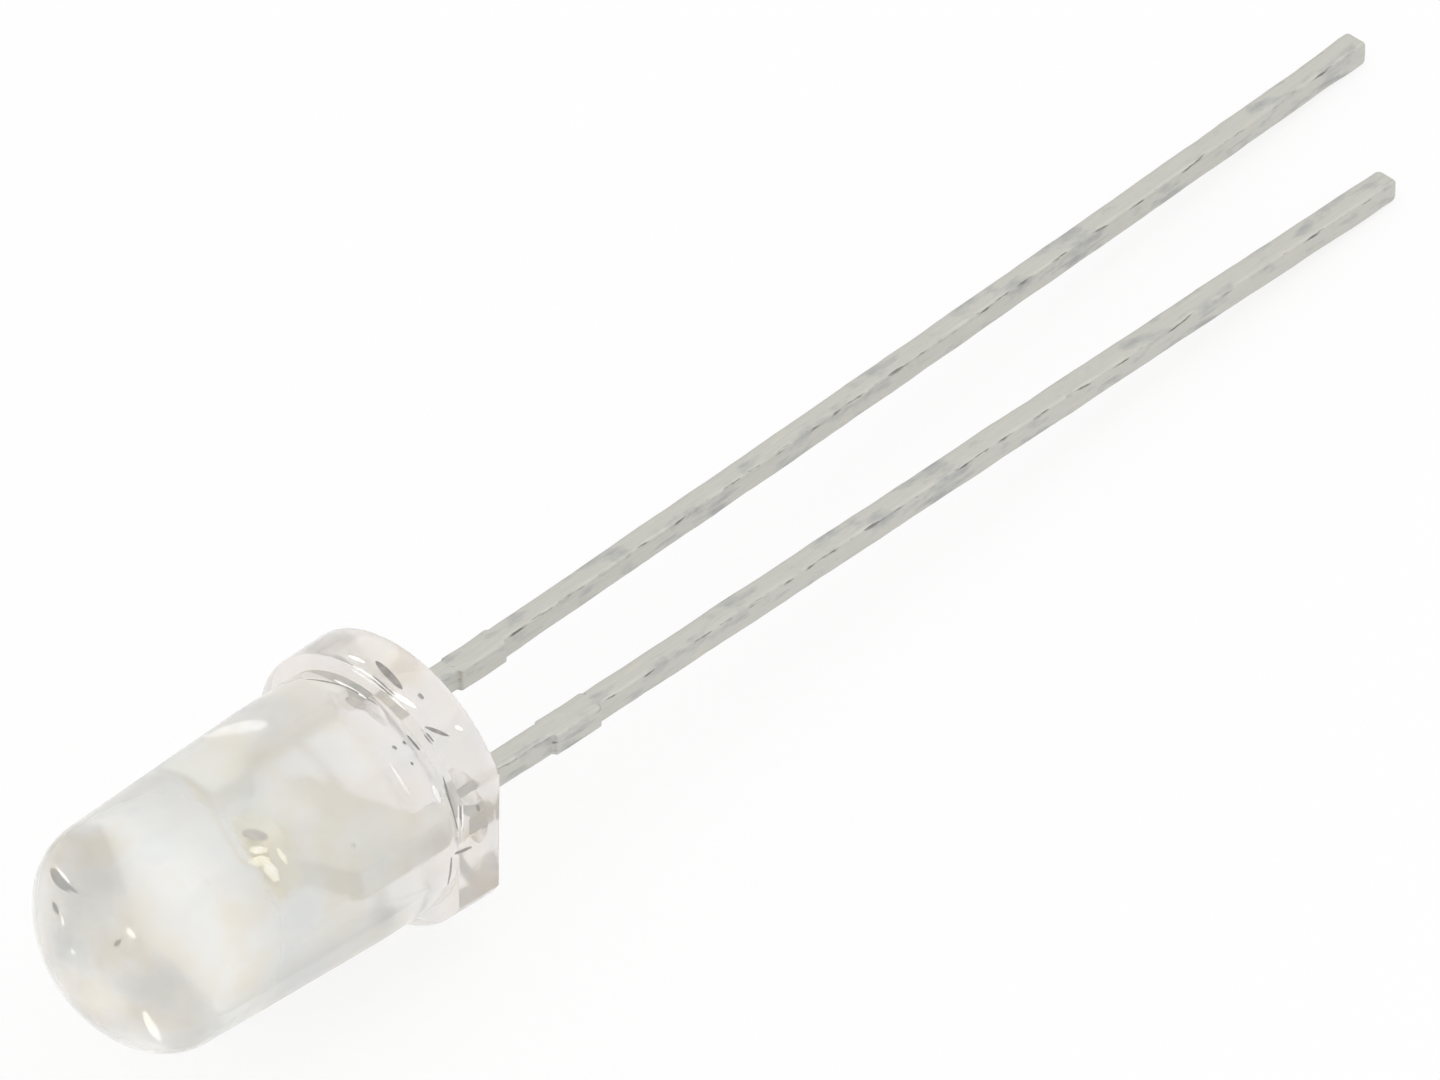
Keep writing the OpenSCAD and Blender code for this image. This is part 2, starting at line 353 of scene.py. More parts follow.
@dataclass(frozen=True)
class TinnedSteel(Finish):
    """Hot tin on square steel wire, a dull greenish grey. The eye gets a soft mottled sheen that
    runs along the wire, with dark dashes that gather along one corner ridge and near the ends of
    the dam stub."""

    name: str = "hot_tin_on_steel"
    slot: str = "tinned_steel"
    colour: str = "#cecdc7"
    dark: str = "#b6b7b6"
    pale: str = "#d5d1c7"
    dash_colour: str = "#82817c"
    roughness: float = 0.58
    sheen: tuple[float, float] = (-0.08, 0.1)
    streak_scale: tuple[float, float] = (1.3, 16.0)
    cloud_scale: tuple[float, float] = (1.1, 2.4)
    dash_scale: tuple[float, float] = (2.1, 14.0)
    edge_v: float = 0.24
    edge_zone: tuple[float, float] = (0.02, 0.07)
    edge_darkening: float = 0.3
    dam_ends: tuple[float, float] = (2.43, 3.68)
    dam_zone: tuple[float, float] = (0.01, 0.09)
    dam_darkening: float = 0.27
    dash_range: tuple[float, float] = (0.84, 0.98)
    dash_cover: float = 0.95
    grain_h: float = 0.02
    shift: float = 0.0

    def grain(self, tree: NodeTree, scale: tuple[float, float], **inputs: float) -> NodeSocket:
        """Adds a noise on the wire's map.

        Args:
            tree: the node tree.
            scale: its cycles per millimetre, along the wire and round it.
            inputs: the noise's other values.

        Returns:
            The noise's factor.
        """
        place = add_node(
            tree,
            "ShaderNodeMapping",
            {
                0: add_node(tree, "ShaderNodeTexCoord").outputs["UV"],
                "Location": (self.shift, 0.0, 0.0),
                "Scale": (*scale, 1.0),
            },
        )
        values = {"Vector": place.outputs[0], "Scale": 1.0, **inputs}
        return add_node(tree, "ShaderNodeTexNoise", values).outputs["Fac"]

    def paint(self, tree: NodeTree) -> None:
        """Builds satin metal with streaks, mottling and nicks on the wire's own lengths."""
        streaks = self.grain(tree, self.streak_scale, Detail=4.0, Roughness=0.6)
        tint = colour_steps(
            tree,
            self.grain(tree, self.cloud_scale, Detail=3.0, Roughness=0.55),
            [(0.3, self.dark), (0.48, self.colour), (0.62, self.colour), (0.78, self.pale)],
        )
        wire_map = add_node(tree, "ShaderNodeTexCoord").outputs["UV"]
        parts = add_node(tree, "ShaderNodeSeparateXYZ", {0: wire_map})
        off_edge, *off_dams = (
            calc(tree, "ABSOLUTE", calc(tree, "SUBTRACT", parts.outputs[way], mark))
            for way, mark in (("Y", self.edge_v), *(("X", end) for end in self.dam_ends))
        )
        # Darker dashes gather along one corner ridge of the wire and near the ends of the dam stub.
        near_edge = remap(tree, off_edge, self.edge_zone, (self.edge_darkening, 0.0))
        off_dam = calc(tree, "MINIMUM", *off_dams)
        near_dam = remap(tree, off_dam, self.dam_zone, (self.dam_darkening, 0.0))
        near_both = calc(tree, "MAXIMUM", near_edge, near_dam)
        dark_dash_mask = calc(tree, "ADD", self.grain(tree, self.dash_scale, Detail=2.0), near_both)
        dash_mix = remap(tree, dark_dash_mask, self.dash_range, (0.0, self.dash_cover))
        colour = add_node(
            tree, "ShaderNodeMix", {0: dash_mix, 6: tint, 7: linear(self.dash_colour)}, data_type="RGBA"
        )
        smooth, rough = (self.roughness + change for change in self.sheen)
        bump = add_node(
            tree,
            "ShaderNodeBump",
            {"Height": streaks, "Strength": 0.35, "Distance": self.grain_h * MM},
        )
        skin(
            tree,
            {
                "Base Color": colour.outputs[2],
                "Roughness": remap(tree, streaks, (0.3, 0.7), (smooth, rough)),
                "Metallic": 1.0,
                "Normal": bump.outputs[0],
            },
        )


@dataclass(frozen=True)
class SilverPlate(Finish):
    """Silver plate on stamped steel. The eye gets a bright, slightly cloudy white metal."""

    name: str = "silver_plate"
    slot: str = "tinned_steel"
    colour: str = "#fffefa"
    shade: str = "#f9f8f2"
    roughness: float = 0.38
    clouds_per_mm: float = 2.2

    def paint(self, tree: NodeTree) -> None:
        """Builds bright metal with a faint cloud in its colour and its sheen."""
        cloudy = clouds(tree, self.clouds_per_mm, 3.0)
        tint = colour_steps(tree, cloudy, [(0.35, self.shade), (0.62, self.colour)])
        rough = remap(tree, cloudy, (0.3, 0.7), (self.roughness, self.roughness + 0.15))
        skin(tree, {"Base Color": tint, "Roughness": rough, "Metallic": 1.0})


@dataclass(frozen=True)
class ChipCrystal(Finish):
    """The light emitting crystal. The eye gets small pale yellow facets with a wet gleam."""

    name: str = "pale_crystal_facets"
    slot: str = "chip_crystal"
    colour: str = "#fffbe2"
    shade: str = "#f3ebc2"
    spots_per_mm: float = 5.0
    ior: float = 1.8

    def paint(self, tree: NodeTree) -> None:
        """Builds a glossy pale solid that darkens in soft spots."""
        spots = clouds(tree, self.spots_per_mm, 2.0)
        tint = colour_steps(tree, spots, [(0.35, self.shade), (0.5, self.colour)])
        skin(tree, {"Base Color": tint, "Roughness": 0.3, "IOR": self.ior, "Coat Weight": 0.3})


@dataclass(frozen=True)
class SilverPaste(Finish):
    """Epoxy filled with silver flakes. The eye gets a matt pale grey with fine bright grains."""

    name: str = "silver_flake_paste"
    slot: str = "silver_paste"
    colour: str = "#c9c8c2"
    flake: str = "#f2f2ee"
    flakes_per_mm: float = 40.0

    def paint(self, tree: NodeTree) -> None:
        """Builds a half metallic matt grey with flakes a few hundredths of a millimetre wide."""
        where = add_node(tree, "ShaderNodeTexCoord").outputs["Object"]
        flakes = add_node(
            tree, "ShaderNodeTexVoronoi", {"Vector": where, "Scale": self.flakes_per_mm / MM}
        )
        tint = colour_steps(
            tree, flakes.outputs["Distance"], [(0.2, self.flake), (0.5, self.colour)]
        )
        skin(tree, {"Base Color": tint, "Roughness": 0.5, "Metallic": 0.5})


@dataclass(frozen=True)
class Gold(Finish):
    """Bare gold. The eye gets a thin line of pale warm metal that fades into the resin."""

    name: str = "bare_gold"
    slot: str = "gold"
    colour: str = "#f7e6bb"
    shade: str = "#eed79c"
    clouds_per_mm: float = 8.0

    def paint(self, tree: NodeTree) -> None:
        """Builds soft bright metal, slightly deeper in tone here and there."""
        cloudy = clouds(tree, self.clouds_per_mm, 1.0)
        tint = colour_steps(tree, cloudy, [(0.4, self.shade), (0.6, self.colour)])
        skin(tree, {"Base Color": tint, "Roughness": 0.35, "Metallic": 1.0})


class Gleam(Enum):
    """How a gap in the resin meets the eye: its name, the two colours painted on its wall, and its
    own glow, a painted glint.
    """

    # Painted light: dark walls paint shade and the leads mirrored in the resin, smoky walls a grey
    # smudge of shade lifted by a faint glow, bright walls glowing glints of the lamps, and cream
    # walls the chip mirrored, also glowing.
    DARK = ("dark", "#524e49", "#85807a", 0.0)
    SMOKY = ("smoky", "#b3ada7", "#c8c3bd", 0.22)
    BRIGHT = ("bright", "#f2f1ee", "#ffffff", 0.5)
    CREAM = ("cream", "#f6f1d6", "#fffdf0", 0.4)


@dataclass(frozen=True)
class PaintedGapSkin(Finish):
    """The wall of a thin air gap in cast resin, painted with light and shade: dark strokes and
    smoky smudges of painted shade, and glowing painted glints of the lamps and of the chip
    mirrored in the resin."""

    gleam: Gleam = Gleam.DARK
    clouds_per_mm: float = 6.0

    def paint(self, tree: NodeTree) -> None:
        """Builds a glossy skin with a cloudy painted colour, and a glow of its own that paints a
        glint in all but the dark gaps.
        """
        _, deep, light, glint = self.gleam.value
        cloudy = clouds(tree, self.clouds_per_mm, 2.0)
        tint = colour_steps(tree, cloudy, [(0.35, deep), (0.65, light)])
        # The wall colour paints shade and reflection, and its emission paints a glint.
        skin(
            tree,
            {
                "Base Color": tint,
                "Roughness": 0.25,
                "Emission Color": tint,
                "Emission Strength": glint,
            },
        )


@dataclass(frozen=True)
class StudioFloor(Finish):
    """A pale matt board. The eye gets plain white with a faint soft shadow."""

    name: str = "studio_board"
    slot: str = ""
    shadow_share: float = 0.22

    def paint(self, tree: NodeTree) -> None:
        """Builds a matt white that shows mostly its own colour to the camera."""
        matt = add_node(tree, "ShaderNodeBsdfDiffuse", {"Color": WHITE})
        white = add_node(tree, "ShaderNodeEmission", {"Color": WHITE, "Strength": 1.0})
        path = add_node(tree, "ShaderNodeLightPath")
        seen = path.outputs["Is Camera Ray"]
        for kind in ("Glossy", "Transmission"):
            seen = calc(tree, "MAXIMUM", seen, path.outputs[f"Is {kind} Ray"])
        share = calc(tree, "MULTIPLY", seen, 1.0 - self.shadow_share)
        mixed = add_node(
            tree, "ShaderNodeMixShader", {0: share, 1: matt.outputs[0], 2: white.outputs[0]}
        )
        add_node(tree, "ShaderNodeOutputMaterial", {"Surface": mixed.outputs[0]})


def settle(bm: BMesh, name: str, place: Matrix) -> Object:
    """Turns a finished bmesh into an object of the scene.

    Args:
        bm: the shape in the diode's axes, in millimetres. It is freed.
        name: the piece's name.
        place: the matrix that takes it to the row's frame.

    Returns:
        The new object, at the origin.
    """
    bm.transform(place)
    mesh = bpy.data.meshes.new(name)
    bm.to_mesh(mesh)
    bm.free()
    piece = bpy.data.objects.new(name, mesh)
    bpy.context.scene.collection.objects.link(piece)
    return piece


def shade(bm: BMesh, sharp_deg: float) -> None:
    """Smooths the faces and keeps an edge sharp where it is steeper than an angle.

    Args:
        bm: the shape.
        sharp_deg: the angle between faces from which an edge stays sharp.
    """
    limit = math.radians(sharp_deg)
    for face in bm.faces:
        face.smooth = True
    for edge in bm.edges:
        edge.smooth = len(edge.link_faces) == 2 and edge.calc_face_angle(0.0) < limit


def only(geom: list, kind: type) -> list:
    """Keeps the elements of one kind from what an operator gives back.

    Args:
        geom: vertices, edges and faces.
        kind: the type that is kept.

    Returns:
        The elements of that type.
    """
    return [g for g in geom if isinstance(g, kind)]


def line(bm: BMesh, start: BMVert | None, end: tuple[float, float]) -> BMVert:
    """Draws a straight edge of an outline.

    Args:
        bm: the bmesh of the outline.
        start: the edge's first vertex, or none where the outline starts.
        end: the place of its other vertex in the plane of the leads.

    Returns:
        The other vertex.
    """
    vert = bm.verts.new((*end, 0))
    if start:
        bm.edges.new((start, vert))
    return vert


def arc(
    bm: BMesh, start: BMVert, centre: tuple[float, float], angle: float, steps: int
) -> BMVert:
    """Spins a vertex into an arc.

    Args:
        bm: the bmesh of the outline.
        start: the arc's first vertex.
        centre: the arc's centre in the plane of the leads.
        angle: the arc's angle in radians.
        steps: the number of edges.

    Returns:
        The arc's last vertex.
    """
    spun = bmesh.ops.spin(
        bm, geom=[start], cent=(*centre, 0), axis=(0, 0, 1), angle=angle, steps=steps
    )
    return only(spun["geom_last"], BMVert)[0]


def revolve(bm: BMesh, steps: int) -> None:
    """Spins an outline a full turn round the diode's axis and closes the seam.

    Args:
        bm: the bmesh of the outline.
        steps: the number of facets round the turn.
    """
    bmesh.ops.spin(
        bm,
        geom=bm.verts[:] + bm.edges[:],
        cent=(0, 0, 0),
        axis=(1, 0, 0),
        angle=FULL_TURN,
        steps=steps,
        use_merge=True,
    )
    bmesh.ops.remove_doubles(bm, verts=bm.verts, dist=SEAM)


def dress(piece: Object, finish: Finish) -> None:
    """Gives a new piece its finish, and its body where the finish has a slot.

    Args:
        piece: the object.
        finish: the finish.
    """
    piece.data.materials.clear()
    piece.data.materials.append(finish.material())
    if finish.slot:
        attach(piece, BODY)


def dress_node(name: str, finish: Finish) -> None:
    """Gives a CAD node its finish.

    Args:
        name: the node's name.
        finish: the finish.
    """
    node = frame["nodes"][name]
    for slot in node.material_slots:
        slot.material = finish.material()
    log.info("%s keeps its CAD shape, finish %s", name, finish.name)


class Side(Enum):
    """The side of the diode on which a lead stands."""

    ANODE = -1
    CATHODE = 1


@dataclass
class LensCasting:
    """The clear lens, cast in one go with its flange. Lengths are in millimetres."""

    height: float = 8.55
    barrel_r: float = 2.54
    land_top: float = 2.42
    draft_deg: float = 1.8
    crown_h: float = 1.7
    shoulder_r: float = 1.25
    flange_r: float = 2.9
    flange_t: float = 1.0
    flat_y: float = 2.56
    release: float = 0.03
    edge_r: float = 0.1
    fillet_r: float = 0.12
    round_steps: int = 5
    crease_deg: float = 40
    sharp_deg: float = 35
    dish_r: float = 2.3
    dish_depth: float = 0.1
    # Shares of the dish's depth and of its radius, from its edge to its middle.
    dish_curve: tuple[tuple[float, float], ...] = ((0.6, 0.62), (0.9, 0.3), (1.0, 0.0))
    crown_steps: int = 28
    shoulder_steps: int = 24
    turns: int = 160
    pitch: float = 2.54
    collar_r: float = 0.61
    collar_h: float = 0.24
    collar_in: float = 0.3
    collar_open: float = 0.12
    collar_steps: int = 10
    collar_turns: int = 48
    # The centre and the radius of each bubble.
    bubbles: tuple[tuple[float, float, float, float], ...] = (
        (8.28, -0.18, 0.27, 0.12),
        (6.2, 0.9, 1.3, 0.05),
        (3.1, 1.6, 0.9, 0.04),
    )
    finish: Finish = ClearResin()

    def outline(self, bm: BMesh) -> None:
        """Draws half of the lens's section, from the crown to the middle of the underside.

        Args:
            bm: the empty bmesh that gets the outline.
        """
        draft = math.radians(self.draft_deg)
        shoulder_x = self.height - self.crown_h
        shoulder_y = (
            self.barrel_r
            - (shoulder_x - self.land_top) * math.tan(draft)
            - self.shoulder_r / math.cos(draft)
        )
        crown_r = (shoulder_y**2 + self.crown_h**2 - self.shoulder_r**2) / (
            2 * (self.crown_h - self.shoulder_r)
        )
        crown_x = self.height - crown_r
        crown_a = math.atan2(shoulder_y, shoulder_x - crown_x)
        last = line(bm, None, (self.height, 0))
        last = arc(bm, last, (crown_x, 0), crown_a, self.crown_steps)
        shoulder_a = math.pi / 2 - draft - crown_a
        last = arc(bm, last, (shoulder_x, shoulder_y), shoulder_a, self.shoulder_steps)
        corners = [
            (self.land_top, self.barrel_r),
            (self.flange_t + self.release, self.barrel_r),
            (self.flange_t, self.flange_r - self.release),
            (0.0, self.flange_r),
            (0.0, self.dish_r),
            *((self.dish_depth * deep, self.dish_r * wide) for deep, wide in self.dish_curve),
        ]
        for corner in corners:
            last = line(bm, last, corner)

    def body(self) -> BMesh:
        """Spins the outline, cuts the flat and rounds the flange's edges."""
        bm = bmesh.new()
        self.outline(bm)
        revolve(bm, self.turns)
        cut = bmesh.ops.bisect_plane(
            bm,
            geom=bm.verts[:] + bm.edges[:] + bm.faces[:],
            plane_co=(0, self.flat_y, 0),
            plane_no=(self.release, 1, 0),
            clear_outer=True,
        )
        bmesh.ops.contextual_create(bm, geom=only(cut["geom_cut"], BMEdge))
        bmesh.ops.recalc_face_normals(bm, faces=bm.faces)
        steep = [
            e
            for e in bm.edges
            if e.calc_face_angle(0.0) > math.radians(self.crease_deg)
            and all(v.co.x < self.flange_t + NEAR for v in e.verts)
            and min(v.co.yz.length for v in e.verts) > self.barrel_r + NEAR
        ]
        root = [
            e
            for e in bm.edges
            if all(abs(v.co.x - self.flange_t - self.release) < TOUCH for v in e.verts)
            and all(abs(v.co.yz.length - self.barrel_r) < TOUCH for v in e.verts)
        ]
        for edges, size in ((steep, self.edge_r), (root, self.fillet_r)):
            bmesh.ops.bevel(
                bm,
                geom=[e for e in edges if e.is_valid],
                offset=size,
                segments=self.round_steps,
                profile=0.5,
                affect="EDGES",
                material=-1,
                clamp_overlap=True,
            )
        return bm

    def collar(self, side: Side) -> BMesh:
        """Turns the resin that creeps up a lead at the seat.

        Args:
            side: the lead's side.

        Returns:
            The collar, which reaches into the flange.
        """
        bm = bmesh.new()
        low = line(bm, None, (0.0, self.collar_r))
        centre = (-self.collar_h, self.collar_r)
        tip = arc(bm, low, centre, self.collar_open - math.pi / 2, self.collar_steps)
        inner = line(bm, low, (self.collar_in, self.collar_r))
        line(bm, tip, (tip.co.x, 0.0))
        line(bm, inner, (self.collar_in, 0.0))
        revolve(bm, self.collar_turns)
        bmesh.ops.recalc_face_normals(bm, faces=bm.faces)
        bmesh.ops.translate(bm, verts=bm.verts, vec=(0, side.value * self.pitch / 2, 0))
        return bm

    @staticmethod
    def unite(body: Object, tool: Object) -> None:
        """Joins a shape to a body and drops the shape.

        Args:
            body: the object that stays.
            tool: the object that is joined to it.
        """
        union = body.modifiers.new("union", "BOOLEAN")
        union.operation, union.object, union.solver = "UNION", tool, "MANIFOLD"
        graph = bpy.context.evaluated_depsgraph_get()
        joined = bpy.data.meshes.new_from_object(body.evaluated_get(graph))
        body.modifiers.clear()
        body.data = joined
        bpy.data.objects.remove(tool)

    def blow(self, bm: BMesh) -> None:
        """Leaves small round bubbles inside the resin.

        Args:
            bm: the lens in the diode's axes.
        """
        for x, y, z, radius in self.bubbles:
            place = Matrix.Translation((x, y, z))
            ball = bmesh.ops.create_icosphere(
                bm, subdivisions=SMOOTH_ROUNDS, radius=radius, matrix=place
            )
            faces = {f for v in ball["verts"] for f in v.link_faces}
            bmesh.ops.reverse_faces(bm, faces=list(faces))

    def build(self) -> None:
        """Makes the lens in place of its CAD node."""
        lens = settle(self.body(), "lens_casting", Matrix.Identity(4))
        for side in Side:
            self.unite(lens, settle(self.collar(side), "collar", Matrix.Identity(4)))
        bm = bmesh.new()
        bm.from_mesh(lens.data)
        self.blow(bm)
        shade(bm, self.sharp_deg)
        bm.transform(AXES.place())
        bm.to_mesh(lens.data)
        bm.free()
        dress(lens, self.finish)
        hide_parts("lens")
        log.info("lens_casting: %d faces", len(lens.data.polygons))


@dataclass
class Lead:
    """One square tinned lead with its dam stub and its sheared tip. Lengths are in millimetres."""

    side: Side
    width: float
    length: float
    lean_deg: float
    bow_r: float
    tip_flare: float
    thickness: float = 0.5
    corner_r: float = 0.07
    corner_steps: int = 4
    side_cuts: int = 3
    pitch: float = 2.54
    root: float = 0.34
    dam_x: float = 2.45
    dam_l: float = 1.2
    dam_step: float = 0.07
    dam_cathode_side: float = 0.09
    dam_anode_side: float = 0.04
    dam_share: float = 0.4
    tip_r: float = 0.1
    flare_at: float = 0.3
    flare_spread: float = 0.3
    wave: float = 0.009
    smooth_to: float = 0.3
    # Cycles per millimetre along and across, share of the wave, and place in the noise.
    ripples: tuple[tuple[float, float, float, float], ...] = (
        (1.1, 3.0, 1.0, 7.0),
        (3.7, 7.0, 0.5, -7.0),
    )
    long_step: float = 0.14
    fine_step: float = 0.022
    fine_reach: float = 0.2
    tip_reach: float = 0.3
    sharp_deg: float = 50
    finish: Finish = TinnedSteel()

    def stations(self) -> list[float]:
        """Lists the heights of the rings along the lead, closer together at its stub and tip."""
        ends = (-self.dam_x, -self.dam_x - self.dam_l)
        x, marks = self.root, []
        while x > -self.length + 2 * NEAR:
            at_stub = min(abs(x - end) for end in ends) < self.fine_reach
            at_tip = x < -self.length + self.tip_reach
            x -= self.fine_step if at_stub or at_tip else self.long_step
            marks.append(max(x, -self.length))
        marks[-1] = -self.length
        return marks

    def bar(self) -> BMesh:
        """Extrudes the rounded section along the lead, ring by ring."""
        bm = bmesh.new()
        bmesh.ops.create_grid(bm, x_segments=1, y_segments=1, size=0.5)
        bmesh.ops.rotate(bm, verts=bm.verts, matrix=Matrix.Rotation(math.pi / 2, 3, "Y"))
        bmesh.ops.scale(bm, verts=bm.verts, vec=(1, self.width, self.thickness))
        sides = bm.edges[:]
        bmesh.ops.subdivide_edges(bm, edges=sides, cuts=self.side_cuts)
        half = Vector((0, self.width / 2, self.thickness / 2))
        corners = [
            v
            for v in bm.verts
            if abs(v.co.y) > half.y - NEAR and abs(v.co.z) > half.z - NEAR
        ]
        bmesh.ops.bevel(
            bm,
            geom=corners,
            offset=self.corner_r,
            segments=self.corner_steps,
            profile=0.5,
            affect="VERTICES",
            material=-1,
        )
        bmesh.ops.translate(bm, verts=bm.verts, vec=(self.root, 0, 0))
        x, ring = self.root, bm.edges[:]
        for mark in self.stations():
            pushed = bmesh.ops.extrude_edge_only(bm, edges=ring)["geom"]
            verts = only(pushed, BMVert)
            bmesh.ops.translate(bm, verts=verts, vec=(mark - x, 0, 0))
            ring = only(pushed, BMEdge)
            x = mark
        bmesh.ops.contextual_create(bm, geom=ring)
        bmesh.ops.recalc_face_normals(bm, faces=bm.faces)
        return bm

    def wrap(self, bm: BMesh) -> None:
        """Lays a map in millimetres on the lead: its length, and the way round its section.

        Args:
            bm: the straight bar.
        """
        layer = bm.loops.layers.uv.new("wrap")
        around = 2 * (self.width + self.thickness)
        for face in bm.faces:
            angles = [
                math.atan2(loop.vert.co.z / self.thickness, loop.vert.co.y / self.width) % FULL_TURN
                for loop in face.loops
            ]
            if max(angles) - min(angles) > math.pi:
                angles = [a + FULL_TURN if a < math.pi else a for a in angles]
            for loop, angle in zip(face.loops, angles):
                loop[layer].uv = (-loop.vert.co.x, angle / FULL_TURN * around)

    def shape(self, co: Vector) -> Vector:
        """Moves a point of the straight bar to its place on the real lead.

        Args:
            co: the point, with the bar's axis on x.

        Returns:
            The point in the diode's axes.
        """
        x, y, z = co
        stub = min((-self.dam_x - x) / self.dam_step, (x + self.dam_x + self.dam_l) / self.dam_step)
        stub = max(0.0, min(1.0, stub + 0.5))
        stub = stub * stub * (3 - 2 * stub)
        grow = self.dam_cathode_side if y > 0 else self.dam_anode_side
        y += math.copysign(grow * stub, y) * min(1.0, abs(y) / (self.width * self.dam_share))
        to_tip = x + self.length
        off_flare = (to_tip - self.flare_at) / self.flare_spread
        scale = 1 + self.tip_flare * math.exp(-(off_flare**2) / 2)
        if to_tip < self.tip_r:
            inset = 1 - math.sqrt(max(0.0, 1 - (1 - to_tip / self.tip_r) ** 2))
            scale -= self.tip_r * inset / (self.width / 2)
        y, z = y * scale, z * scale
        ripple = sum(
            share * noise.noise(Vector((x * along + seed * self.side.value, y * wide, z * wide)))
            for along, wide, share, seed in self.ripples
        )
        if x < -self.smooth_to:
            y *= 1 + ripple * self.wave / (self.width / 2)
            z *= 1 + ripple * self.wave / (self.thickness / 2)
        return self.bend(x, y, z)

    def bend(self, x: float, y: float, z: float) -> Vector:
        """Leans and bows the lead from the middle of its dam stub on.

        Args:
            x: the point's height on the straight lead.
            y: its place across the lead, towards the cathode.
            z: its place across the plane of the leads.

        Returns:
            The point in the diode's axes.
        """
        start = self.dam_x + self.dam_l / 2
        run = max(0.0, -x - start)
        lean = math.radians(self.lean_deg) if run > 0 else 0.0
        angle = lean + (run / self.bow_r if self.bow_r else 0.0)
        bow = run * run / (2 * self.bow_r) if self.bow_r else 0.0
        centre_x = max(x, -start) - run * math.cos(lean) + bow * math.sin(lean)
        centre_y = self.side.value * self.pitch / 2 - run * math.sin(lean) - bow * math.cos(lean)
        return Vector((centre_x - y * math.sin(angle), centre_y + y * math.cos(angle), z))

    def build(self) -> None:
        """Makes the lead's outer part in place of its CAD node."""
        bm = self.bar()
        self.wrap(bm)
        for vert in bm.verts:
            vert.co = self.shape(vert.co)
        shade(bm, self.sharp_deg)
        name = self.side.name.lower()
        piece = settle(bm, f"{name}_wire", AXES.place())
        dress(piece, self.finish)
        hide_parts(f"{name}_lead")
        log.info("%s_wire: %d faces", name, len(piece.data.polygons))


